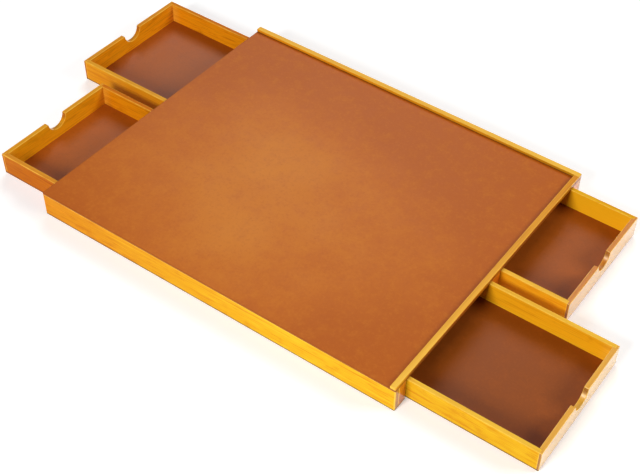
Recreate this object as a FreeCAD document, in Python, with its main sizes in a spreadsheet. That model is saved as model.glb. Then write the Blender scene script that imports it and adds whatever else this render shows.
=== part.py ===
import FreeCAD, Part
import os
import Sketcher

# A low puzzle table: a shallow wooden case, open at both short ends, with two
# drawers out of each end, a hardboard work surface and a raised rim on two sides.
# +X runs along the long side, +Y to the back and +Z up. The origin is the middle
# of the case's footprint, on the surface that the table stands on.

SIZES = [
    # case
    ("caseLength", 780, "case, left end to right end"),
    ("caseWidth", 640, "case, front to back"),
    ("boardHeight", 49, "long walls, posts and divider"),
    ("boardThickness", 12, "long walls"),
    ("surfaceThickness", 3, "hardboard work surface"),
    ("rimWidth", 11, "rim strips"),
    ("rimHeight", 7, "rim strips, above the work surface"),
    ("guideWidth", 19, "corner posts and guide strips, across"),
    ("guideHeight", 15, "guide strips"),
    ("postShoulder", 4, "post, past the runner under it"),
    ("beamThickness", 26, "centre divider and cross rails"),
    ("runnerThickness", 2.8, "slats that the drawers slide on"),
    ("runnerWidth", 36, "slats that the drawers slide on"),
    ("endRunnerInset", 12, "from the end of the case to its first slat"),
    # drawers
    ("drawerSideGap", 2.5, "between a drawer and what stands beside it"),
    ("drawerTopGap", 0.4, "between a drawer and the work surface"),
    ("drawerBackGap", 3, "between a closed drawer and its cross rail"),
    ("wallThickness", 9, "drawer sides and back"),
    ("faceThickness", 9.5, "drawer face"),
    ("faceLip", 4.5, "part of the face that covers the ends of the sides"),
    ("floorThickness", 3, "hardboard drawer floor"),
    ("floorRabbet", 4.5, "how far the floor reaches into the walls"),
    ("notchRadius", 22.5, "half-round finger notch"),
    ("notchLip", 2.5, "rounding where the notch meets the top edge"),
    ("openFrontLeft", 140, "how far the front left drawer stands out"),
    ("openBackLeft", 220, "how far the back left drawer stands out"),
    ("openFrontRight", 252, "how far the front right drawer stands out"),
    ("openBackRight", 138, "how far the back right drawer stands out"),
    # finish and fasteners
    ("cornerRound", 2, "upright corners"),
    ("edgeRound", 1, "top edges of rims and drawers"),
    ("edgeEase", 0.5, "sanded edges of the case, and of the drawers below"),
    ("screwDiameter", 3, "screws through the slats"),
    ("screwHeadDiameter", 5.6, "countersunk head"),
    ("screwLength", 12, "screws through the slats"),
    ("screwSunk", 0.2, "head below the underside"),
    ("screwOffset", 7, "screws on each side of a slat's middle"),
    ("screwTip", 2.5, "pointed end of a screw"),
    ("screwRecess", 0.8, "depth of the cross in the head"),
    ("recessSlot", 0.7, "width of the cross in the head"),
    ("holeFit", 0.1, "screw and brad holes, wider than the shank"),
    ("bradDiameter", 1.4, "brads through the drawer floor"),
    ("bradHeadDiameter", 2.6, "brads through the drawer floor"),
    ("bradHeadHeight", 0.6, "brads through the drawer floor"),
    ("bradLength", 13, "brads through the drawer floor"),
    ("bradInset", 2.2, "from the edge of the floor to a brad"),
    ("bradEndInset", 24, "from the end of a row to its first brad"),
]

# What follows from the sizes, written once for every piece that needs it.
half_length = "Sizes.caseLength / 2"
half_width = "Sizes.caseWidth / 2"
half_beam = "Sizes.beamThickness / 2"
wall_face = f"({half_width} - Sizes.boardThickness)"
guide_face = f"({wall_face} - Sizes.guideWidth)"
guide_middle = f"({wall_face} - Sizes.guideWidth / 2)"
post_length = "(Sizes.endRunnerInset + Sizes.runnerWidth + Sizes.postShoulder)"
post_inner = f"({half_length} - {post_length})"
end_runner = f"({half_length} - Sizes.endRunnerInset - Sizes.runnerWidth / 2)"
surface_top = "(Sizes.boardHeight + Sizes.surfaceThickness)"

drawer_width = f"({guide_face} - {half_beam} - 2 * Sizes.drawerSideGap)"
drawer_middle = f"(({guide_face} + {half_beam}) / 2)"
drawer_length = f"({half_length} - {half_beam} - Sizes.drawerBackGap)"
drawer_height = "(Sizes.boardHeight - Sizes.runnerThickness - Sizes.drawerTopGap)"
inside_half = f"({drawer_width} / 2 - Sizes.wallThickness)"
back_front = f"({drawer_length} - Sizes.wallThickness)"
floor_half = f"({inside_half} + Sizes.floorRabbet)"
floor_front = "(Sizes.faceThickness - Sizes.floorRabbet)"
floor_back = f"({back_front} + Sizes.floorRabbet)"
screw_hole = "((Sizes.screwDiameter + Sizes.holeFit) / 2)"
screw_top = "(Sizes.screwSunk + Sizes.screwLength)"
brad_hole = "((Sizes.bradDiameter + Sizes.holeFit) / 2)"
brad_row = f"({floor_half} - Sizes.bradInset)"
brad_front = f"({floor_front} + Sizes.bradInset)"
brad_back = f"({floor_back} - Sizes.bradInset)"

# Across the case, slats lie at the two ends, half-way in and in the middle.
RUNNERS = [
    ("left_end_runner", -1),
    ("left_middle_runner", -0.5),
    ("centre_runner", 0),
    ("right_middle_runner", 0.5),
    ("right_end_runner", 1),
]

# Name, end of the case (+1 is the right end), row (+1 is the back row), opening.
DRAWERS = [
    ("front_left", -1, -1, "Sizes.openFrontLeft"),
    ("back_left", -1, 1, "Sizes.openBackLeft"),
    ("front_right", 1, -1, "Sizes.openFrontRight"),
    ("back_right", 1, 1, "Sizes.openBackRight"),
]

# Screws stand in the divider and in the posts, guides and cross rails beside the walls.
SCREW_ROWS = [f"(-{guide_middle})", "0", guide_middle]

# Where brads stand along a row, as shares of the way from its first to its last.
LONG_ROW = [0, 0.25, 0.5, 0.75, 1]
SHORT_ROW = [0, 0.5, 1]

# Closer than this counts as the same place, in millimetres.
NEAR = 1e-3

doc = FreeCAD.newDocument("puzzle_table")
sheet = doc.addObject("Spreadsheet::Sheet", "Sizes")
pieces = []


def fill_sheet():
    """Give each driving size a cell of its own."""
    for row, (alias, millimetres, note) in enumerate(SIZES, start=1):
        sheet.set(f"A{row}", str(millimetres))
        sheet.set(f"B{row}", note)
        sheet.setAlias(f"A{row}", alias)
    doc.recompute()


def size(expression):
    """The value of an expression on the sheet, in millimetres."""
    return float(sheet.evalExpression(expression))


def new_body(label):
    body = doc.addObject("PartDesign::Body", label)
    body.Label = label
    pieces.append(body)
    return body


def place(body, x="0", y="0", z="0", turn=0):
    """Stand a piece at a point given by expressions, turned about +Z."""
    turned = FreeCAD.Rotation(FreeCAD.Vector(0, 0, 1), turn)
    body.Placement = FreeCAD.Placement(FreeCAD.Vector(size(x), size(y), size(z)), turned)
    for axis, expression in zip("xyz", (x, y, z)):
        body.setExpression(f"Placement.Base.{axis}", expression)


def new_sketch(body, name, role="XY_Plane"):
    sketch = body.newObject("Sketcher::SketchObject", name)
    plane = [item for item in body.Origin.OriginFeatures if item.Role == role][0]
    sketch.AttachmentSupport = (plane, [""])
    sketch.MapMode = "FlatFace"
    return sketch


def hold_point(sketch, geometry, point, x, y):
    """Tie one point of a sketch to the sheet."""
    for kind, expression in (("DistanceX", x), ("DistanceY", y)):
        constraint = Sketcher.Constraint(kind, -1, 1, geometry, point, size(expression))
        index = sketch.addConstraint(constraint)
        sketch.setExpression(f"Constraints[{index}]", expression)


def draw_outline(sketch, corners):
    """A closed outline through corners given as pairs of expressions."""
    points = [FreeCAD.Vector(size(x), size(y), 0) for x, y in corners]
    first = sketch.GeometryCount
    count = len(points)
    for index in range(count):
        sketch.addGeometry(Part.LineSegment(points[index], points[(index + 1) % count]))
    for index in range(count):
        following = first + (index + 1) % count
        sketch.addConstraint(Sketcher.Constraint("Coincident", first + index, 2, following, 1))
    for index, (x, y) in enumerate(corners):
        hold_point(sketch, first + index, 1, x, y)


def draw_rectangle(sketch, x_low, x_high, y_low, y_high):
    draw_outline(sketch, [(x_low, y_low), (x_high, y_low), (x_high, y_high), (x_low, y_high)])


def draw_circle(sketch, x, y, radius):
    centre = FreeCAD.Vector(size(x), size(y), 0)
    circle = sketch.addGeometry(Part.Circle(centre, FreeCAD.Vector(0, 0, 1), size(radius)))
    hold_point(sketch, circle, 3, x, y)
    index = sketch.addConstraint(Sketcher.Constraint("Radius", circle, size(radius)))
    sketch.setExpression(f"Constraints[{index}]", radius)


def pad(body, sketch, length, side="One side"):
    feature = body.newObject("PartDesign::Pad", "Pad")
    feature.Profile = sketch
    feature.SideType = side
    feature.setExpression("Length", length)
    doc.recompute()
    return feature


def cut(body, sketch, depth, side="One side", reverse=False):
    """Pocket a sketch and make sure that it took wood away."""
    before = body.Shape.Volume
    feature = body.newObject("PartDesign::Pocket", "Pocket")
    feature.Profile = sketch
    feature.SideType = side
    feature.Reversed = reverse
    feature.setExpression("Length", depth)
    doc.recompute()
    if not body.Shape.Volume < before - NEAR:
        raise RuntimeError(f"{body.Label}: {sketch.Label} cuts nothing")
    return feature


def ease(body, feature, chosen, radius):
    """Round the edges that the test picks out."""
    edges = [f"Edge{n}" for n, edge in enumerate(feature.Shape.Edges, start=1) if chosen(edge)]
    if not edges:
        raise RuntimeError(f"{body.Label}: no edge to round")
    rounded = body.newObject("PartDesign::Fillet", "Fillet")
    rounded.Base = (feature, edges)
    rounded.setExpression("Radius", radius)
    doc.recompute()
    return rounded


def lies_at(edge, axis, value):
    """Whether a whole edge lies at one value of x, y or z."""
    box = edge.BoundBox
    low = getattr(box, axis + "Min")
    high = getattr(box, axis + "Max")
    return abs(low - value) < NEAR and abs(high - value) < NEAR


def at_either(edge, axis, value):
    return lies_at(edge, axis, value) or lies_at(edge, axis, -value)


def is_upright(edge):
    box = edge.BoundBox
    return box.ZLength > NEAR and box.XLength < NEAR and box.YLength < NEAR


def make_block(label, length, width, height):
    """A plain block, centred in plan, standing on its underside."""
    body = new_body(label)
    plan = new_sketch(body, "Plan")
    draw_rectangle(plan, f"-{length} / 2", f"{length} / 2", f"-{width} / 2", f"{width} / 2")
    return body, pad(body, plan, height)


def house_runners(body, middles, half_across):
    """Let slats into the underside of a piece that they cross."""
    sketch = new_sketch(body, "Housings")
    for middle in middles:
        draw_rectangle(
            sketch,
            f"{middle} - Sizes.runnerWidth / 2",
            f"{middle} + Sizes.runnerWidth / 2",
            f"-{half_across}",
            half_across,
        )
    cut(body, sketch, "Sizes.runnerThickness", reverse=True)


def drill_pilots(body, points):
    """Holes for the slats' screws, up from the underside of the case."""
    sketch = new_sketch(body, "Pilots")
    for x, y in points:
        for side in (-1, 1):
            draw_circle(sketch, f"{x} + {side} * Sizes.screwOffset", y, screw_hole)
    cut(body, sketch, screw_top, reverse=True)


def make_work_surface():
    body, panel = make_block(
        "work_surface", "Sizes.caseLength", "Sizes.caseWidth", "Sizes.surfaceThickness"
    )
    rounded = ease(body, panel, is_upright, "Sizes.cornerRound")
    top = size("Sizes.surfaceThickness")
    ease(body, rounded, lambda edge: lies_at(edge, "Z", top), "Sizes.edgeEase")
    place(body, z="Sizes.boardHeight")


def make_long_wall(label, row):
    """Front or back wall, rounded at its two outer corners and eased along its foot."""
    body, board = make_block(label, "Sizes.caseLength", "Sizes.boardThickness", "Sizes.boardHeight")
    outer = row * size("Sizes.boardThickness / 2")
    rounded = ease(
        body, board, lambda edge: is_upright(edge) and lies_at(edge, "Y", outer), "Sizes.cornerRound"
    )
    ease(
        body,
        rounded,
        lambda edge: lies_at(edge, "Z", 0) and not lies_at(edge, "Y", -outer),
        "Sizes.edgeEase",
    )
    place(body, y=f"{row} * ({half_width} - Sizes.boardThickness / 2)")


def make_back_rim():
    body, strip = make_block("back_rim", "Sizes.caseLength", "Sizes.rimWidth", "Sizes.rimHeight")
    outer = size("Sizes.rimWidth / 2")
    rounded = ease(
        body, strip, lambda edge: is_upright(edge) and lies_at(edge, "Y", outer), "Sizes.cornerRound"
    )
    top = size("Sizes.rimHeight")
    ease(body, rounded, lambda edge: lies_at(edge, "Z", top), "Sizes.edgeRound")
    place(body, y=f"{half_width} - Sizes.rimWidth / 2", z=surface_top)


def make_right_rim():
    """Runs from the front edge back to the other rim and butts against it."""
    length = "(Sizes.caseWidth - Sizes.rimWidth)"
    body, strip = make_block("right_rim", "Sizes.rimWidth", length, "Sizes.rimHeight")
    top = size("Sizes.rimHeight")
    butt = size(f"{length} / 2")
    outer = size("Sizes.rimWidth / 2")

    def is_outer_corner(edge):
        return is_upright(edge) and lies_at(edge, "Y", -butt) and lies_at(edge, "X", outer)

    rounded = ease(body, strip, is_outer_corner, "Sizes.cornerRound")
    ease(
        body,
        rounded,
        lambda edge: lies_at(edge, "Z", top) and not lies_at(edge, "Y", butt),
        "Sizes.edgeRound",
    )
    place(body, x=f"{half_length} - Sizes.rimWidth / 2", y="-Sizes.rimWidth / 2", z=surface_top)


def ease_ends(body, block, ends):
    """Ease an upright block's visible ends, except under the work surface."""
    box = block.Shape.BoundBox
    planes = {-1: box.XMin, 1: box.XMax}

    def is_seen(edge):
        at_end = any(lies_at(edge, "X", planes[end]) for end in ends)
        return at_end and not lies_at(edge, "Z", box.ZMax)

    ease(body, block, is_seen, "Sizes.edgeEase")


def make_post(label, end, row):
    """Corner block behind a long wall, beside a drawer opening."""
    body, block = make_block(label, post_length, "Sizes.guideWidth", "Sizes.boardHeight")
    ease_ends(body, block, [end])
    middle = f"({end} * ({post_length} / 2 - Sizes.endRunnerInset - Sizes.runnerWidth / 2))"
    house_runners(body, [middle], "Sizes.guideWidth")
    drill_pilots(body, [(middle, "0")])
    place(body, x=f"{end} * ({half_length} - {post_length} / 2)", y=f"{row} * {guide_middle}")


def make_centre_divider():
    body, block = make_block(
        "centre_divider", "Sizes.caseLength", "Sizes.beamThickness", "Sizes.boardHeight"
    )
    ease_ends(body, block, [-1, 1])
    middles = [f"({share} * {end_runner})" for _, share in RUNNERS]
    house_runners(body, middles, "Sizes.beamThickness")
    drill_pilots(body, [(middle, "0") for middle in middles])


def make_cross_rail(label, row):
    """Middle wall that the drawers close against, over the centre slat."""
    length = f"({wall_face} - {half_beam})"
    body = make_block(label, "Sizes.beamThickness", length, "Sizes.boardHeight")[0]
    middle = f"(({wall_face} + {half_beam}) / 2)"
    house_runners(body, ["0"], length)
    drill_pilots(body, [("0", f"{row} * ({guide_middle} - {middle})")])
    place(body, y=f"{row} * {middle}")


def make_guide(label, end, row):
    """Low strip along a long wall that keeps a drawer straight."""
    length = f"({post_inner} - {half_beam})"
    body = make_block(label, length, "Sizes.guideWidth", "Sizes.guideHeight")[0]
    middle = f"(({post_inner} + {half_beam}) / 2)"
    crossing = f"({end} * ({end_runner} / 2 - {middle}))"
    case_centre = f"(-{end} * {middle})"
    house_runners(body, [crossing, case_centre], "Sizes.guideWidth")
    drill_pilots(body, [(crossing, "0")])
    place(body, x=f"{end} * {middle}", y=f"{row} * {guide_middle}")


def make_runner(label, share):
    """Slat across the underside, countersunk for two screws at each crossing."""
    body = make_block(label, "Sizes.runnerWidth", f"(2 * {wall_face})", "Sizes.runnerThickness")[0]
    sketch = new_sketch(body, "ScrewHoles")
    for row in SCREW_ROWS:
        for side in (-1, 1):
            draw_circle(sketch, f"{side} * Sizes.screwOffset", row, screw_hole)
    doc.recompute()
    before = body.Shape.Volume
    holes = body.newObject("PartDesign::Hole", "Countersinks")
    holes.Profile = sketch
    holes.Reversed = True
    holes.DepthType = "ThroughAll"
    holes.HoleCutType = "Countersink"
    holes.HoleCutCustomValues = True
    holes.HoleCutCountersinkAngle = 90
    holes.setExpression("Diameter", f"2 * {screw_hole}")
    holes.setExpression("HoleCutDiameter", "Sizes.screwHeadDiameter + 2 * Sizes.screwSunk")
    doc.recompute()
    if not body.Shape.Volume < before - NEAR:
        raise RuntimeError(f"{label}: the screw holes cut nothing")
    place(body, x=f"{share} * {end_runner}")


def make_runner_screws():
    """One countersunk screw with a cross recess, repeated at every crossing."""
    sunk = size("Sizes.screwSunk")
    shank = size("Sizes.screwDiameter / 2")
    head = size("Sizes.screwHeadDiameter / 2")
    tip = size("Sizes.screwTip")
    top = size(screw_top)
    deep = size("Sizes.screwRecess")
    slot = size("Sizes.recessSlot")
    # The countersink's 90 degree cone makes the head as tall as it is wider than the shank.
    tall = head - shank
    axis = FreeCAD.Vector(0, 0, 1)
    solid = Part.makeCone(head, shank, tall, FreeCAD.Vector(0, 0, sunk), axis)
    straight = top - tip - sunk - tall
    solid = solid.fuse(Part.makeCylinder(shank, straight, FreeCAD.Vector(0, 0, sunk + tall), axis))
    solid = solid.fuse(Part.makeCone(shank, 0, tip, FreeCAD.Vector(0, 0, top - tip), axis))
    for length, width in ((2 * shank, slot), (slot, 2 * shank)):
        corner = FreeCAD.Vector(-length / 2, -width / 2, sunk)
        solid = solid.cut(Part.makeBox(length, width, deep, corner))
    solid = solid.removeSplitter()
    places = []
    for _, share in RUNNERS:
        for row in SCREW_ROWS:
            for side in (-1, 1):
                x = size(f"{share} * {end_runner} + {side} * Sizes.screwOffset")
                places.append(FreeCAD.Vector(x, size(row), 0))
    make_group("runner_screws", solid, places)


def make_group(label, solid, places):
    """The same small solid at many places, kept as one piece."""
    group = doc.addObject("Part::Feature", label)
    group.Label = label
    group.Shape = Part.makeCompound([solid.translated(point) for point in places])
    pieces.append(group)
    return group


def make_face(label):
    """Drawer face: its lip covers the ends of the sides, its core fits between them."""
    body = new_body(label)
    half = f"{drawer_width} / 2"
    plan = new_sketch(body, "Plan")
    draw_outline(
        plan,
        [
            ("0", f"-{half}"),
            ("0", half),
            ("-Sizes.faceLip", half),
            ("-Sizes.faceLip", inside_half),
            ("-Sizes.faceThickness", inside_half),
            ("-Sizes.faceThickness", f"-{inside_half}"),
            ("-Sizes.faceLip", f"-{inside_half}"),
            ("-Sizes.faceLip", f"-{half}"),
        ],
    )
    pad(body, plan, drawer_height)
    notch = new_sketch(body, "Notch", "YZ_Plane")
    draw_circle(notch, "0", drawer_height, "Sizes.notchRadius")
    notched = cut(body, notch, "3 * Sizes.faceThickness", side="Symmetric")
    top = size(drawer_height)
    edge_of_notch = size("Sizes.notchRadius")
    lips = ease(
        body,
        notched,
        lambda edge: lies_at(edge, "Z", top) and at_either(edge, "Y", edge_of_notch),
        "Sizes.notchLip",
    )
    inner = -size("Sizes.faceThickness")
    outer = size(half)

    def is_seen(edge):
        on_front = lies_at(edge, "X", 0)
        on_back = lies_at(edge, "X", inner) and edge.BoundBox.ZMax > NEAR and not is_upright(edge)
        at_end = lies_at(edge, "Z", top) and at_either(edge, "Y", outer)
        return on_front or on_back or at_end

    ease(body, lips, is_seen, "Sizes.edgeRound")
    rabbet = new_sketch(body, "FloorRabbet")
    draw_rectangle(rabbet, "-Sizes.faceThickness", f"-{floor_front}", f"-{inside_half}", inside_half)
    cut(body, rabbet, "Sizes.floorThickness", reverse=True)
    drill_brads(body, [(f"-{brad_front}", y) for y in short_row()])
    return body


def make_side(label, hand):
    """Drawer side, rabbeted for the floor; hand is +1 where its inside faces -Y."""
    body = new_body(label)
    outer = f"{hand} * {drawer_width} / 2"
    inner = f"{hand} * {inside_half}"
    ledge = f"{hand} * {floor_half}"
    section = new_sketch(body, "Section", "YZ_Plane")
    section.setExpression("AttachmentOffset.Base.z", f"-{drawer_length}")
    draw_outline(
        section,
        [
            (outer, "0"),
            (outer, drawer_height),
            (inner, drawer_height),
            (inner, "Sizes.floorThickness"),
            (ledge, "Sizes.floorThickness"),
            (ledge, "0"),
        ],
    )
    length = f"({drawer_length} - Sizes.faceLip)"
    side = pad(body, section, length)
    top = size(drawer_height)
    half_board = size(f"{length} / 2")
    rounded = ease(
        body,
        side,
        lambda edge: lies_at(edge, "Z", top) and edge.BoundBox.XLength > half_board,
        "Sizes.edgeRound",
    )
    foot = size(outer)
    ease(
        body, rounded, lambda edge: lies_at(edge, "Z", 0) and lies_at(edge, "Y", foot), "Sizes.edgeEase"
    )
    drill_brads(body, [(x, f"{hand} * {brad_row}") for x in long_row()])
    return body


def make_back(label):
    """Back of a drawer, between its sides, rabbeted for the floor."""
    body = new_body(label)
    section = new_sketch(body, "Section", "XZ_Plane")
    draw_outline(
        section,
        [
            (f"-{drawer_length}", "0"),
            (f"-{floor_back}", "0"),
            (f"-{floor_back}", "Sizes.floorThickness"),
            (f"-{back_front}", "Sizes.floorThickness"),
            (f"-{back_front}", drawer_height),
            (f"-{drawer_length}", drawer_height),
        ],
    )
    width = f"(2 * {inside_half})"
    board = pad(body, section, width, side="Symmetric")
    top = size(drawer_height)
    half_board = size(f"{width} / 2")
    ease(
        body,
        board,
        lambda edge: lies_at(edge, "Z", top) and edge.BoundBox.YLength > half_board,
        "Sizes.edgeRound",
    )
    drill_brads(body, [(f"-{brad_back}", y) for y in short_row()])
    return body


def make_floor(label):
    """Hardboard floor in the rabbets, drilled and sunk for the brads."""
    body = new_body(label)
    plan = new_sketch(body, "Plan")
    draw_rectangle(plan, f"-{floor_back}", f"-{floor_front}", f"-{floor_half}", floor_half)
    pad(body, plan, "Sizes.floorThickness")
    drill_brads(body, brad_points())
    heads = new_sketch(body, "BradHeads")
    for x, y in brad_points():
        draw_circle(heads, x, y, "(Sizes.bradHeadDiameter + Sizes.holeFit) / 2")
    cut(body, heads, "Sizes.bradHeadHeight", reverse=True)
    return body


def make_brads(label):
    """Flat-headed brads, their heads flush with the underside of the floor."""
    shank = size("Sizes.bradDiameter / 2")
    head = size("Sizes.bradHeadDiameter / 2")
    solid = Part.makeCylinder(head, size("Sizes.bradHeadHeight"))
    solid = solid.fuse(Part.makeCylinder(shank, size("Sizes.bradLength"))).removeSplitter()
    places = [FreeCAD.Vector(size(x), size(y), 0) for x, y in brad_points()]
    return make_group(label, solid, places)


def drill_brads(body, points):
    """Holes for the floor's brads, up from the underside of the drawer."""
    sketch = new_sketch(body, "BradHoles")
    for x, y in points:
        draw_circle(sketch, x, y, brad_hole)
    cut(body, sketch, "Sizes.bradLength", reverse=True)


def spread(low, high, shares):
    """Places between two expressions, with the same inset at both ends."""
    span = f"({high} - {low} - 2 * Sizes.bradEndInset)"
    return [f"({low} + Sizes.bradEndInset + {share} * {span})" for share in shares]


def long_row():
    """Where the brads stand along a drawer's side, from the face inwards."""
    return [f"(-{x})" for x in spread(floor_front, floor_back, LONG_ROW)]


def short_row():
    """Where the brads stand across a drawer."""
    return spread(f"(-{floor_half})", floor_half, SHORT_ROW)


def brad_points():
    """All the brads of a drawer: a row in each side, in the face and in the back."""
    points = [(x, f"{hand} * {brad_row}") for hand in (-1, 1) for x in long_row()]
    points += [(f"-{x}", y) for x in (brad_front, brad_back) for y in short_row()]
    return points


def make_drawer(name, end, row, opening):
    """The pieces of one drawer; at the left end they are turned half round."""
    # Turned or not, the side next to the long wall is the outer one.
    outer_hand = end * row
    parts = [
        make_face(f"{name}_drawer_face"),
        make_side(f"{name}_drawer_outer_side", outer_hand),
        make_side(f"{name}_drawer_inner_side", -outer_hand),
        make_back(f"{name}_drawer_back"),
        make_floor(f"{name}_drawer_floor"),
        make_brads(f"{name}_drawer_brads"),
    ]
    turn = 0 if end > 0 else 180
    for piece in parts:
        place(
            piece,
            x=f"{end} * ({half_length} + {opening})",
            y=f"{row} * {drawer_middle}",
            z="Sizes.runnerThickness",
            turn=turn,
        )


def make_case():
    make_work_surface()
    make_back_rim()
    make_right_rim()
    make_centre_divider()
    for side, row in (("front", -1), ("back", 1)):
        make_long_wall(f"{side}_board", row)
        make_cross_rail(f"{side}_cross_rail", row)
        for hand, end in (("left", -1), ("right", 1)):
            make_post(f"{side}_{hand}_post", end, row)
            make_guide(f"{side}_{hand}_guide", end, row)
    for label, share in RUNNERS:
        make_runner(label, share)
    make_runner_screws()


def check_document():
    """Stop if any object failed or any piece has no sound solid."""
    for item in doc.Objects:
        if "Invalid" in item.State or "Error" in item.State:
            raise RuntimeError(f"{item.Label} failed: {item.State}")
    for piece in pieces:
        if piece.Shape.isNull() or not piece.Shape.isValid():
            raise RuntimeError(f"{piece.Label} has no valid shape")


def write_steps():
    os.makedirs("parts", exist_ok=True)
    for piece in pieces:
        piece.Shape.exportStep(f"parts/{piece.Label}.step")


fill_sheet()
make_case()
for drawer in DRAWERS:
    make_drawer(*drawer)
doc.recompute()
check_document()
write_steps()
print(f"{len(pieces)} pieces written")
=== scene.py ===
import math

import bpy
from mathutils import Matrix, Vector


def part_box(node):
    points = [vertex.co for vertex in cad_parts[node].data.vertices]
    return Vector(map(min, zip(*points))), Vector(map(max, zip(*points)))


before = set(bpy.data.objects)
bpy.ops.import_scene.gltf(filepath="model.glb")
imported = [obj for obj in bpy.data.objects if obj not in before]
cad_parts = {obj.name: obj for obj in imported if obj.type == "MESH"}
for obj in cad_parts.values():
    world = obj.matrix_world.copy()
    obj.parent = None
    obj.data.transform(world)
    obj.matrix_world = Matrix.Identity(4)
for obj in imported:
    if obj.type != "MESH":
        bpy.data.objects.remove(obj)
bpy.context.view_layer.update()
print("frame loaded")

scene = bpy.context.scene
scene.view_settings.view_transform = "Standard"


# shader maths: + - * / on strands add Math nodes, node() adds any other
class Strand:
    def __init__(self, tree, socket=None):
        self.tree = tree
        self.socket = socket

    def node(self, kind, settings=None, inputs=None, output=0):
        made = self.tree.nodes.new(kind)
        for name, value in (settings or {}).items():
            setattr(made, name, value)
        for name, value in (inputs or {}).items():
            if isinstance(value, Strand):
                self.tree.links.new(value.socket, made.inputs[name])
            else:
                made.inputs[name].default_value = value
        return Strand(self.tree, made.outputs[output])

    def maths(self, operation, first, second=0.0):
        return self.node("ShaderNodeMath", {"operation": operation}, {0: first, 1: second})

    def __add__(self, other):
        return self.maths("ADD", self, other)

    __radd__ = __add__

    def __sub__(self, other):
        return self.maths("SUBTRACT", self, other)

    def __rsub__(self, other):
        return self.maths("SUBTRACT", other, self)

    def __mul__(self, other):
        return self.maths("MULTIPLY", self, other)

    __rmul__ = __mul__

    def __truediv__(self, other):
        return self.maths("DIVIDE", self, other)

    def __rtruediv__(self, other):
        return self.maths("DIVIDE", other, self)

    def __pow__(self, other):
        return self.maths("POWER", self, other)

    def __abs__(self):
        return self.maths("ABSOLUTE", self)

    def atLeast(self, other):
        return self.maths("MAXIMUM", self, other)

    def atMost(self, other):
        return self.maths("MINIMUM", self, other)

    def remainder(self):
        return self.maths("FRACT", self)

    # 0 below low, 1 above high, smooth between
    def rise(self, low, high):
        return self.node(
            "ShaderNodeMapRange",
            {"interpolation_type": "SMOOTHSTEP"},
            {"Value": self, "From Min": low, "From Max": high},
        )

    def vector(self, operation, other):
        return self.node("ShaderNodeVectorMath", {"operation": operation}, {0: self, 1: other})

    def axes(self):
        return [self.node("ShaderNodeSeparateXYZ", None, {0: self}, axis) for axis in range(3)]

    # noise between 0 and 1; size is the size of its features along each axis, in metres
    def noise(self, size, detail=2.0, rough=0.5):
        return self.node(
            "ShaderNodeTexNoise",
            None,
            {"Vector": self.vector("DIVIDE", size), "Scale": 1.0, "Detail": detail, "Roughness": rough},
        )

    # share of a pattern's high parts: none below low, all of it above high
    def peaks(self, low, high, share):
        return self.rise(low, high) * share

    # share of its low parts: all of it below low, none above high
    def dips(self, low, high, share):
        return (1 - self.rise(low, high)) * share

    # this colour where mask is 0 or less, other where it is 1
    def blend(self, other, mask):
        return blendColours(self, self, other, mask)


def blendColours(strand, first, second, mask):
    return strand.node(
        "ShaderNodeMix",
        {"data_type": "RGBA"},
        {0: mask, 6: colourOf(first), 7: colourOf(second)},
        2,
    )


def colourOf(value):
    return value if isinstance(value, Strand) else (*value, 1.0)


def newFinish(name):
    material = bpy.data.materials.new(name)
    material.use_nodes = True
    material.node_tree.nodes.clear()
    return material, Strand(material.node_tree)


def dress(node, material):
    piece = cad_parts[node]
    if not piece.material_slots:
        piece.data.materials.append(material)
    for holder in piece.material_slots:
        holder.material = material


# how far a point of the skin lies from the nearest edge: the smallest, over
# every two faces, of the larger distance
def edgeDistance(distances):
    nearest = None
    for index, first in enumerate(distances):
        for second in distances[index + 1:]:
            pair = first.atLeast(second)
            nearest = nearest.atMost(pair) if nearest else pair
    return nearest


def surfaceOutput(strand, shader):
    out = strand.tree.nodes.new("ShaderNodeOutputMaterial")
    strand.tree.links.new(shader.socket, out.inputs["Surface"])


def finishSurface(strand, inputs, height, bump):
    normal = strand.node(
        "ShaderNodeBump",
        None,
        {"Strength": bump["strength"], "Distance": bump["depth"], "Height": height},
    )
    surfaceOutput(strand, strand.node("ShaderNodeBsdfPrincipled", None, {"Normal": normal, **inputs}))


# adds patterns to a value, each by its own amount
def addUp(value, patterns, amounts):
    for name, amount in amounts.items():
        value = patterns[name] * amount + value
    return value


# goes from the first to the second of ends along a board
def slide(share, ends):
    return share * (ends[1] - ends[0]) + ends[0]


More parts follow.
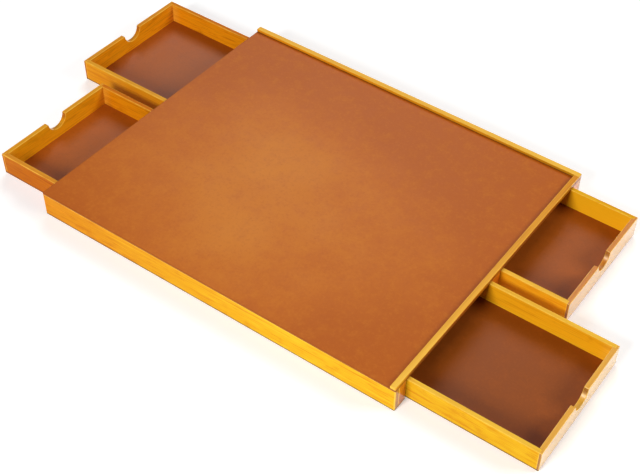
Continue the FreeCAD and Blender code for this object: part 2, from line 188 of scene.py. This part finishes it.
# honey-stained softwood under satin lacquer; each colour goes from golden
# boards (tone 0) to deep orange ones (tone 1)
wood = {
    "early": ((0.77, 0.42, 0.010), (0.58, 0.144, 0.001)),  # between the rings
    "late": ((0.66, 0.225, 0.003), (0.43, 0.078, 0.001)),  # the rings' dark side
    "pale": ((0.85, 0.56, 0.022), (0.70, 0.215, 0.003)),
    "smudge": ((0.62, 0.22, 0.004), (0.45, 0.085, 0.001)),  # where the stain gathered
    "paintedLightInside": ((0.98, 0.48, 0.010), (1.0, 0.35, 0.005)),  # painted light: drawers' inner faces and lightened sides are painted toward it
    "endGrain": ((0.38, 0.120, 0.006), (0.78, 0.190, 0.004)),
    "dryEnd": ((0.24, 0.080, 0.006), (0.24, 0.070, 0.004)),
    "wearAndHighlight": ((0.96, 0.60, 0.09), (0.96, 0.56, 0.08)),  # painted pale where the stain is rubbed thin, and painted highlights on edges, corners, nooks and ends
    "contactShade": ((0.10, 0.05, 0.02), (0.08, 0.03, 0.01)),  # painted contact shadow along the lowest edge
    "toneDrift": 0.5,
    # how the log lies to the board
    "tilt": 0.035,  # radians
    "tiltSpread": 2.3,
    "rollShare": 0.6,
    "logStep": 1.7,  # along the log from one board to the next
    # growth rings
    "ringWidth": 0.0042,
    "ringWaver": 0.010,  # how far the rings wander along a board
    "crowding": 2.4,  # rings more or fewer
    "ringDarkens": (0.3, 0.9),  # shares of a ring's width
    "ringStops": (0.93, 1.0),
    # where each pattern starts to show, where it is full, and its share
    "paleBands": (0.48, 0.70, 0.60),
    "ringStreaks": (0.42, 0.70, 0.70),
    "darkStreaks": (0.30, 0.44, 0.70),
    "paleStreaks": (0.54, 0.68, 0.45),
    "darkLines": (0.34, 0.46, 0.75),
    "smudges": (0.56, 0.70, 0.40),
    "paleFibres": (0.55, 0.75, 0.30),
    # how squarely a surface has to face that way
    "sideTurn": (0.5, 0.9),
    "endTurn": (0.75, 0.95),
    "topTurn": (0.6, 0.95),
    # drawers' inner faces, painted paler as painted light
    "paintedLightInsideShare": 0.85,
    "paintedLightInsideCalm": 0.4,  # how much fainter the grain is there
    "nookHighlights": (0.006, 0.030, 0.30),  # painted highlight in the inner corners: from and to, in metres, and share
    # sawn ends, and tops painted paler by rubbing and painted sheen
    "endShare": 0.6,
    "endRings": 0.35,
    "rubAndSheenShare": 0.6,
    "rubAndSheenStreaks": 0.8,
    # eased edges painted pale, as wear and painted highlight, in metres from the edge
    "wearAndHighlightScuff": 0.0018,
    "wearAndHighlightEdge": (0.00036, 0.0018),
    "wearAndHighlightShare": 0.32,
    "wearAndHighlightSmudges": (0.38, 0.56, 0.35),
    "wearAndHighlightEndLoss": 0.4,
    "cornerHighlightWidth": (0.00108, 0.00234),
    # painted contact shadow along the lowest edge: its height and share
    "contactShadeHeight": 0.0035,
    "contactShadeShare": 0.9,
    # surface
    "coatRise": (0.60, 0.76),  # lacquer shows most at a glancing angle
    "rough": 0.34,
    "roughPatterns": {"fibre": 0.1, "end": 0.1, "late": -0.05},
    "relief": {"fibre": 0.4, "line": 0.4, "streak": 0.3, "late": -0.4},
    "bump": {"strength": 0.25, "depth": 0.00012},
    "fixed": {"Coat Roughness": 0.16, "Coat IOR": 2.3},  # the same all over
}

# size of each pattern's features along and across the log, detail, roughness
woodPatterns = {
    "waver": ((0.14, 0.05, 0.05), 1.0, 0.5),
    "crowding": ((0.5, 0.02, 0.02), 1.0, 0.5),
    "band": ((0.22, 0.012, 0.012), 2.0, 0.5),
    "streak": ((0.16, 0.0065, 0.0065), 2.0, 0.5),
    "line": ((0.11, 0.0014, 0.0014), 2.0, 0.6),
    "fibre": ((0.02, 0.0006, 0.0006), 2.0, 0.6),
    "smudge": ((0.045, 0.020, 0.020), 3.0, 0.6),
    "scuff": ((0.012, 0.012, 0.012), 2.0, 0.5),
}

# what a board can have of its own
plainBoard = {
    "paintedLightAndShade": (0.0, 0.0),  # sides painted paler as painted light (darker as painted shade, below 0) at the low and the high end
    "paintedSideTone": 0.0,  # painted light: sides toned deeper (more golden, below 0) than the top
    "endHighlights": 0.0,  # painted highlight on the sawn ends
    "cornerHighlights": 0.0,  # painted highlight on the upright corners
    "polish": 0.03,  # specular level, higher under thick lacquer
}

# boards that depart from the plain one
ownLooks = {
    "front_board": {"cornerHighlights": 1.0},
    "back_board": {"polish": 0.65},
    "back_right_post": {"polish": 0.65},
    "back_rim": {"paintedLightAndShade": (0.55, -0.24)},
    "right_rim": {"paintedLightAndShade": (0.02, -0.14), "endHighlights": 0.75},
    "front_left_drawer_face": {"paintedLightAndShade": (0.2, 0.2)},
    "front_left_drawer_outer_side": {"paintedLightAndShade": (-0.17, -0.17)},
    "front_left_drawer_inner_side": {"paintedLightAndShade": (-0.16, -0.16)},
    "back_left_drawer_outer_side": {"paintedLightAndShade": (-0.08, -0.08)},
    "back_left_drawer_inner_side": {"paintedLightAndShade": (0.08, 0.08)},
    "front_right_drawer_face": {"paintedLightAndShade": (0.25, 0.25), "paintedSideTone": -0.8, "polish": 0.65},
    "front_right_drawer_outer_side": {"paintedLightAndShade": (-0.05, -0.05)},
    "front_right_drawer_inner_side": {"paintedLightAndShade": (0.1, 0.1)},
    "back_right_drawer_face": {"paintedLightAndShade": (0.1, 0.1), "paintedSideTone": -0.75, "polish": 0.65},
    "back_right_drawer_outer_side": {"paintedLightAndShade": (0.85, 0.85)},
    "back_right_drawer_inner_side": {"paintedLightAndShade": (0.28, 0.28)},
}


def woodFinish(node, along, pith, seed, tones, topRubsAndSheens, dry=0.0, inward=None, extraEdge=None):
    own = {**plainBoard, **ownLooks.get(node, {})}
    material, strand = newFinish("wood_" + node)
    low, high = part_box(node)
    centre, half = (low + high) / 2, (high - low) / 2
    local = strand.node("ShaderNodeTexCoord", output="Object").vector("SUBTRACT", centre)
    parts = local.axes()
    facing = strand.node("ShaderNodeTexCoord", output="Normal").axes()
    lengthwise = "xy".index(along)

    # grain runs along the log's own X
    turn = 0.0 if along == "x" else -math.pi / 2
    lean = wood["tilt"] * math.sin(seed * wood["tiltSpread"])
    log = strand.node(
        "ShaderNodeMapping",
        None,
        {
            "Vector": local,
            "Rotation": (lean * wood["rollShare"], lean, turn + lean),
            "Location": (seed * wood["logStep"], 0.0, 0.0),
        },
    )
    patterns = {name: log.noise(*look) for name, look in woodPatterns.items()}
    band, streak, smudge = patterns["band"], patterns["streak"], patterns["smudge"]

    waver = (patterns["waver"] - 0.5) * wood["ringWaver"]
    acrossLog, upLog = log.axes()[1:]
    sideways = acrossLog - pith[0] + waver
    upwards = upLog - pith[1] + waver
    fromPith = (sideways * sideways + upwards * upwards) ** 0.5
    ring = (fromPith / wood["ringWidth"] + patterns["crowding"] * wood["crowding"]).remainder()
    late = ring.rise(*wood["ringDarkens"]) * (1 - ring.rise(*wood["ringStops"]))

    # golden or deep, drifting along the board; upright faces add the painted side tone as painted light
    share = parts[lengthwise] / (2 * half[lengthwise]) + 0.5
    upright = 1 - abs(facing[2]).rise(*wood["sideTurn"])
    tone = slide(share, tones) + (band - 0.5) * wood["toneDrift"] + upright * own["paintedSideTone"]

    def toned(name):
        return blendColours(strand, *wood[name], tone)

    colour = toned("early").blend(toned("pale"), band.peaks(*wood["paleBands"]))
    quiet = 1.0
    if inward:
        # painted light: inner faces painted paler, with a painted highlight in the corners, and with
        # fainter grain
        axis, sign = inward
        inner = (facing[axis] * sign).rise(*wood["sideTurn"])
        nookHighlight = (half[lengthwise] - abs(parts[lengthwise])).dips(*wood["nookHighlights"])
        colour = colour.blend(toned("paintedLightInside"), inner * wood["paintedLightInsideShare"])
        colour = colour.blend(toned("wearAndHighlight"), inner * nookHighlight)
        quiet = 1 - inner * wood["paintedLightInsideCalm"]
    colour = colour.blend(toned("late"), late * streak.peaks(*wood["ringStreaks"]) * quiet)
    colour = colour.blend(toned("late"), streak.dips(*wood["darkStreaks"]) * quiet)
    colour = colour.blend(toned("pale"), streak.peaks(*wood["paleStreaks"]))
    colour = colour.blend(toned("late"), patterns["line"].dips(*wood["darkLines"]) * quiet)
    colour = colour.blend(toned("smudge"), smudge.peaks(*wood["smudges"]))
    colour = colour.blend(toned("pale"), patterns["fibre"].peaks(*wood["paleFibres"]))

    # painted light and shade on upright faces: toward the painted inside colour where positive, toward
    # black where negative
    paintedLightAndShade = slide(share, own["paintedLightAndShade"]) * upright
    colour = colour.blend(toned("paintedLightInside"), paintedLightAndShade)
    colour = colour.blend((0.0, 0.0, 0.0), 0 - paintedLightAndShade)

    # sawn ends are darker and drier; tops are painted paler, by rubbing and painted sheen
    end = abs(facing[lengthwise]).rise(*wood["endTurn"])
    colour = colour.blend(toned("endGrain"), end * (wood["endShare"] + wood["endRings"] * late))
    colour = colour.blend(toned("dryEnd"), end * dry)
    # painted highlight on sawn ends
    colour = colour.blend(toned("wearAndHighlight"), end * own["endHighlights"])
    rubAndSheenMask = slide(share, topRubsAndSheens) * (wood["rubAndSheenShare"] + streak * wood["rubAndSheenStreaks"])
    colour = colour.blend(toned("wearAndHighlight"), facing[2].rise(*wood["topTurn"]) * rubAndSheenMask)

    # edges are painted pale in patches, as wear and painted highlight; upright corners get a painted
    # highlight, the foot a painted contact shadow
    insets = [half[axis] - abs(part) for axis, part in enumerate(parts)]
    if extraEdge:
        insets.append(extraEdge(parts, half))
    scuff = (patterns["scuff"] - 0.5) * wood["wearAndHighlightScuff"]
    wearAndHighlight = 1 - (edgeDistance(insets) + scuff).rise(*wood["wearAndHighlightEdge"])
    patchy = (wood["wearAndHighlightShare"] + smudge.peaks(*wood["wearAndHighlightSmudges"])) * (1 - end * wood["wearAndHighlightEndLoss"])
    colour = colour.blend(toned("wearAndHighlight"), wearAndHighlight * patchy)
    cornerHighlightMask = 1 - insets[0].atLeast(insets[1]).rise(*wood["cornerHighlightWidth"])
    colour = colour.blend(toned("wearAndHighlight"), cornerHighlightMask * upright * own["cornerHighlights"])
    # painted contact shadow darkens the lowest few millimetres of upright faces
    tall = min(wood["contactShadeHeight"], 0.5 * half[2])
    contactShade = 1 - (parts[2] + half[2] + scuff).rise(0.5 * tall, tall)
    colour = colour.blend(toned("contactShade"), contactShade * upright * wood["contactShadeShare"])

    patterns.update(late=late, end=end)
    glance = strand.node("ShaderNodeLayerWeight", None, {"Blend": 0.5}, 1)
    inputs = {
        "Base Color": colour,
        "Roughness": addUp(wood["rough"], patterns, wood["roughPatterns"]),
        "Coat Weight": glance.rise(*wood["coatRise"]),
        "Specular IOR Level": own["polish"],
        **wood["fixed"],
    }
    finishSurface(strand, inputs, addUp(0.0, patterns, wood["relief"]), wood["bump"])
    dress(node, material)


# smooth tempered hardboard
board = {
    "colour": (0.52, 0.128, 0.003),
    "cloud": (0.62, 0.200, 0.013),
    "shade": (0.43, 0.090, 0.001),
    "fleck": (0.34, 0.070, 0.002),
    "scuff": (0.66, 0.25, 0.04),
    "rim": (0.26, 0.055, 0.002),  # darker along the edges
    "cut": (0.36, 0.088, 0.001),  # sawn edges
    "spread": (1.3, 0.7, 0.0),  # from one board's patterns to the next one's
    "paintedShadeDrift": 0.3,  # painted shade: darker towards the right, per metre
    "paintedLightCrown": (1.8, 3.0),  # painted light: paler in the middle, darker away from it, per square metre
    "paintedLightCrownMiddle": -0.08,
    "cloudiness": 0.4,
    # where each pattern starts to show, where it is full, and its share
    "paleClouds": (0.45, 0.75, 0.90),
    "darkClouds": (0.30, 0.55, 0.80),
    "paleMottle": (0.45, 0.80, 0.25),
    "darkMottle": (0.20, 0.55, 0.30),
    "paleSpeckle": (0.50, 0.80, 0.20),
    "darkSpeckle": (0.25, 0.50, 0.25),
    "flecks": (0.58, 0.75, 0.20),
    "scuffTurns": (0.5, 1.9),  # ways that the scuffs run, in radians
    "scuffLines": (0.70, 0.78, 1.0),
    "scuffPatches": (0.50, 0.65, 1.0),
    "scuffShare": 0.3,
    "rimFade": (0.0, 0.0022, 0.60),
    "cutTurn": (0.4, 0.8, 1.0),
    # surface
    "rough": 0.44,
    "roughPatterns": {"mottle": 0.12, "cloud": -0.04},
    "relief": {"fleck": 0.6, "mottle": 0.4},
    "bump": {"strength": 0.25, "depth": 0.0002},
    "fixed": {"Specular IOR Level": 0.2},
}

# the drawers' darker, redder sheets
floorBoard = {
    **board,
    "colour": (0.32, 0.070, 0.003),
    "cloud": (0.39, 0.089, 0.004),
    "shade": (0.24, 0.053, 0.002),
    "fleck": (0.16, 0.030, 0.002),
    "scuff": (0.42, 0.12, 0.02),
    "cut": (0.30, 0.08, 0.006),
    "paintedShadeDrift": 0.0,
    "paintedLightCrown": (0.0, 0.0),
    "rough": 0.42,
    "fixed": {"Specular IOR Level": 0.3},
}

# size of each pattern's features in metres, detail, roughness
boardPatterns = {
    "cloud": ((0.20, 0.16, 0.1), 3.0, 0.5),
    "mottle": ((0.020, 0.020, 0.020), 4.0, 0.55),
    "speckle": ((0.005, 0.005, 0.005), 2.0, 0.5),
    "fleck": ((0.0011, 0.0011, 0.0011), 2.0, 0.5),
}
scuffPatterns = {
    "line": ((0.018, 0.0006, 0.01), 1.0, 0.5),
    "patch": ((0.09, 0.09, 0.09), 1.0, 0.5),
}


# pallor is 0 for a dark sheet, 0.6 for a pale one
def boardFinish(node, seed, look, pallor):
    material, strand = newFinish("hardboard_" + node)
    low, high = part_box(node)
    centre, half = (low + high) / 2, (high - low) / 2
    here = strand.node("ShaderNodeTexCoord", output="Object")
    spot = here.vector("ADD", tuple(seed * step for step in look["spread"]))
    parts = here.vector("SUBTRACT", centre).axes()
    patterns = {name: spot.noise(*size) for name, size in boardPatterns.items()}
    mottle, speckle = patterns["mottle"], patterns["speckle"]

    # painted light: a paler middle and a darker right side stand in for the lamps' pool of light
    across, deep = parts[0], parts[1] - look["paintedLightCrownMiddle"]
    paintedLightPool = across * across * look["paintedLightCrown"][0] + deep * deep * look["paintedLightCrown"][1]
    broad = pallor - across * look["paintedShadeDrift"] - paintedLightPool
    cloud = patterns["cloud"] * look["cloudiness"] + broad
    patterns["cloud"] = cloud
    colour = blendColours(strand, look["colour"], look["cloud"], cloud.peaks(*look["paleClouds"]))
    colour = colour.blend(look["shade"], cloud.dips(*look["darkClouds"]))
    colour = colour.blend(look["cloud"], mottle.peaks(*look["paleMottle"]))
    colour = colour.blend(look["shade"], mottle.dips(*look["darkMottle"]))
    colour = colour.blend(look["cloud"], speckle.peaks(*look["paleSpeckle"]))
    colour = colour.blend(look["shade"], speckle.dips(*look["darkSpeckle"]))
    colour = colour.blend(look["fleck"], patterns["fleck"].peaks(*look["flecks"]))

    # short fine scuffs, in patches
    scratch = 0.0
    for turn in look["scuffTurns"]:
        brushed = spot.node("ShaderNodeMapping", None, {"Vector": spot, "Rotation": (0.0, 0.0, turn)})
        line = brushed.noise(*scuffPatterns["line"]).peaks(*look["scuffLines"])
        patch = brushed.noise(*scuffPatterns["patch"]).peaks(*look["scuffPatches"])
        scratch = line * patch + scratch
    colour = colour.blend(look["scuff"], scratch * look["scuffShare"])

    inset = (half[0] - abs(parts[0])).atMost(half[1] - abs(parts[1]))
    colour = colour.blend(look["rim"], inset.dips(*look["rimFade"]))
    facing = strand.node("ShaderNodeTexCoord", output="Normal").axes()[2]
    colour = colour.blend(look["cut"], abs(facing).dips(*look["cutTurn"]))
    inputs = {
        "Base Color": colour,
        "Roughness": addUp(look["rough"], patterns, look["roughPatterns"]),
        **look["fixed"],
    }
    finishSurface(strand, inputs, addUp(0.0, patterns, look["relief"]), look["bump"])
    dress(node, material)


# screws are zinc plated, brads are bright steel
metal = {
    "blotch": ((0.003, 0.003, 0.003), 2.0, 0.5),
    "grain": ((0.0002, 0.0002, 0.004), 2.0, 0.5),
    "dulled": (0.4, 0.65),
    "roughBlotches": 0.2,
    "bump": {"strength": 0.15, "depth": 0.00005},
}
zinc = {**metal, "bright": (0.80, 0.68, 0.40), "dull": (0.55, 0.47, 0.30), "rough": 0.32}
steel = {**metal, "bright": (0.66, 0.66, 0.67), "dull": (0.42, 0.41, 0.40), "rough": 0.38}


def metalFinish(node, look):
    material, strand = newFinish("metal_" + node)
    here = strand.node("ShaderNodeTexCoord", output="Object")
    blotch = here.noise(*look["blotch"])
    inputs = {
        "Base Color": blendColours(strand, look["bright"], look["dull"], blotch.rise(*look["dulled"])),
        "Roughness": look["rough"] + blotch * look["roughBlotches"],
        "Metallic": 1.0,
    }
    finishSurface(strand, inputs, here.noise(*look["grain"]), look["bump"])
    dress(node, material)


# node, grain axis, where the pith lies off the board's middle (across the
# grain, up), tone at the low and the high end of the board
caseBoards = (
    ("front_board", "x", (0.02, -0.07), (0.72, -0.3)),
    ("back_board", "x", (0.03, -0.06), (0.40, 0.30)),
    ("back_rim", "x", (0.01, -0.05), (0.75, 0.45)),
    ("right_rim", "y", (0.02, -0.05), (0.7, 1.6)),
    ("centre_divider", "x", (-0.05, -0.03), (0.8, 0.8)),
    ("front_cross_rail", "y", (0.05, -0.03), (0.6, 0.7)),
    ("back_cross_rail", "y", (-0.04, -0.04), (0.7, 0.6)),
    ("front_left_post", "x", (0.04, -0.02), (0.7, 0.7)),
    ("front_right_post", "x", (0.03, -0.03), (0.6, 0.6)),
    ("back_left_post", "x", (-0.03, -0.03), (0.7, 0.6)),
    ("back_right_post", "x", (-0.04, -0.02), (0.9, 0.9)),
    ("front_left_guide", "x", (0.03, -0.04), (0.6, 0.6)),
    ("front_right_guide", "x", (0.04, -0.03), (0.5, 0.5)),
    ("back_left_guide", "x", (-0.03, -0.04), (0.6, 0.5)),
    ("back_right_guide", "x", (-0.04, -0.03), (0.5, 0.6)),
    ("left_end_runner", "y", (0.04, -0.02), (0.5, 0.4)),
    ("left_middle_runner", "y", (0.03, -0.03), (0.4, 0.5)),
    ("centre_runner", "y", (-0.04, -0.02), (0.5, 0.5)),
    ("right_middle_runner", "y", (0.05, -0.02), (0.4, 0.4)),
    ("right_end_runner", "y", (-0.03, -0.03), (0.5, 0.3)),
)

# how far the tops are painted paler, by rubbing and painted sheen, at the low and the high end
plainRubsAndSheens = (0.3, 0.3)
caseRubsAndSheens = {"back_rim": (0.62, 0.62), "right_rim": (0.78, 0.28)}
surfacePallor = 0.43


def dressCase():
    for seed, (node, along, pith, tones) in enumerate(caseBoards, 1):
        woodFinish(node, along, pith, seed, tones, caseRubsAndSheens.get(node, plainRubsAndSheens))
    boardFinish("work_surface", 1, board, surfacePallor)
    metalFinish("runner_screws", zinc)
    print("case dressed")


# part, grain axis, where the pith lies
drawerBoards = (
    ("face", "y", (0.03, -0.05)),
    ("outer_side", "x", (0.02, -0.06)),
    ("inner_side", "x", (-0.02, -0.05)),
    ("back", "y", (0.02, -0.05)),
)

# of each drawer's face, sides and back: tones, and how far their tops are
# painted paler by rubbing and painted sheen; then its floor's pallor
drawerLooks = {
    "front_left": ((0.65, 1.0, 1.0, 0.9), (0.18, 0.26, 0.03, 0.1), 0.55),
    "back_left": ((0.8, 0.95, 0.62, 0.9), (0.18, 0.0, 0.25, 0.1), 0.37),
    # front right: its floor's pallor of 0 is painted shade
    "front_right": ((0.6, 0.03, 0.25, 0.3), (0.3, 0.45, 0.4, 0.3), 0.0),
    "back_right": ((1.0, 0.0, 0.35, 0.4), (0.14, 0.0, 0.5, 0.3), 0.37),
}
firstDrawerSeed = 31
faceDryness = 0.5  # of a face's sawn ends
notchRadius = 0.0225


# from the finger notch in a drawer face's top edge
def notchInset(parts, half):
    above = half[2] - parts[2]
    return (parts[1] * parts[1] + above * above) ** 0.5 - notchRadius


def middle(node):
    low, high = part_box(node)
    return (low + high) / 2


# axis and sign of the way from a drawer wall to the drawer's middle
def inwardFrom(node, floor, axis):
    return axis, math.copysign(1.0, middle(floor)[axis] - middle(node)[axis])


def dressDrawers():
    seed = firstDrawerSeed
    for name, (tones, topRubsAndSheens, pallor) in drawerLooks.items():
        floor = f"{name}_drawer_floor"
        for (part, along, pith), tone, topRubAndSheen in zip(drawerBoards, tones, topRubsAndSheens):
            node = f"{name}_drawer_{part}"
            inward = inwardFrom(node, floor, 0 if along == "y" else 1)
            extras = {"dry": faceDryness, "extraEdge": notchInset} if part == "face" else {}
            woodFinish(node, along, pith, seed, (tone, tone), (topRubAndSheen, topRubAndSheen), inward=inward, **extras)
            seed += 1
        boardFinish(floor, seed, floorBoard, pallor)
        metalFinish(f"{name}_drawer_brads", steel)
    print("drawers dressed")


dressCase()
dressDrawers()

# a plain white studio
studio = {
    "floorSize": 40.0,
    "floorDrop": 0.0006,
    "floorColour": (0.88, 0.88, 0.88),
    "floorRough": 0.6,
    "glowColour": (1.0, 1.0, 1.0),  # a lit white sweep
    "glowStrength": 0.32,
    "skyColour": (1.0, 1.0, 1.0),
    "skyStrength": 0.12,
}


def makeFloor():
    material, strand = newFinish("studio_floor")
    inputs = {
        "Base Color": (*studio["floorColour"], 1.0),
        "Roughness": studio["floorRough"],
        "Specular IOR Level": 0.0,
        "Emission Color": (*studio["glowColour"], 1.0),
        "Emission Strength": studio["glowStrength"],
    }
    surfaceOutput(strand, strand.node("ShaderNodeBsdfPrincipled", None, inputs))
    bpy.ops.mesh.primitive_plane_add(size=studio["floorSize"], location=(0, 0, -studio["floorDrop"]))
    floor = bpy.context.object
    floor.name = "studio_floor"
    floor.data.materials.append(material)


def makeSky():
    world = bpy.data.worlds.new("studio_sky")
    scene.world = world
    world.use_nodes = True
    backdrop = world.node_tree.nodes["Background"]
    backdrop.inputs["Color"].default_value = (*studio["skyColour"], 1.0)
    backdrop.inputs["Strength"].default_value = studio["skyStrength"]


# name: place, what it points at, width, height, watts
lights = {
    "key": ((0.0, -3.3, 2.0), (0.0, 0.0, 0.0), 1.2, 1.2, 114.0),
    "right": ((2.6, 1.2, 1.8), (0.0, 0.0, 0.0), 1.4, 1.2, 55.0),
    "back": ((-1.3, 2.0, 2.1), (-0.1, 0.0, 0.0), 2.0, 1.2, 36.0),
}


def makeLights():
    for name, (place, target, width, height, watts) in lights.items():
        lamp = bpy.data.lights.new(name, "AREA")
        lamp.shape = "RECTANGLE"
        lamp.size = width
        lamp.size_y = height
        lamp.energy = watts
        holder = bpy.data.objects.new(name, lamp)
        scene.collection.objects.link(holder)
        holder.location = place
        holder.rotation_euler = (Vector(target) - Vector(place)).to_track_quat("-Z", "Y").to_euler()


camera = {
    "place": (1.0217, -1.3901, 1.6465),
    "azimuth": 30.22,  # degrees, right of straight in front
    "elevation": 44.878,
    "roll": 4.489,
    "lens": 70.24,
    "shift": (-0.1445, -0.0033),
}


def makeCamera():
    lens = bpy.data.cameras.new("camera")
    lens.lens = camera["lens"]
    lens.shift_x, lens.shift_y = camera["shift"]
    holder = bpy.data.objects.new("camera", lens)
    scene.collection.objects.link(holder)
    turned = Matrix.Rotation(math.radians(camera["azimuth"]), 4, "Z")
    tilted = Matrix.Rotation(math.radians(90 - camera["elevation"]), 4, "X")
    rolled = Matrix.Rotation(math.radians(camera["roll"]), 4, "Z")
    holder.matrix_world = Matrix.Translation(camera["place"]) @ turned @ tilted @ rolled
    scene.camera = holder


makeFloor()
makeSky()
makeLights()
makeCamera()
print("studio ready")
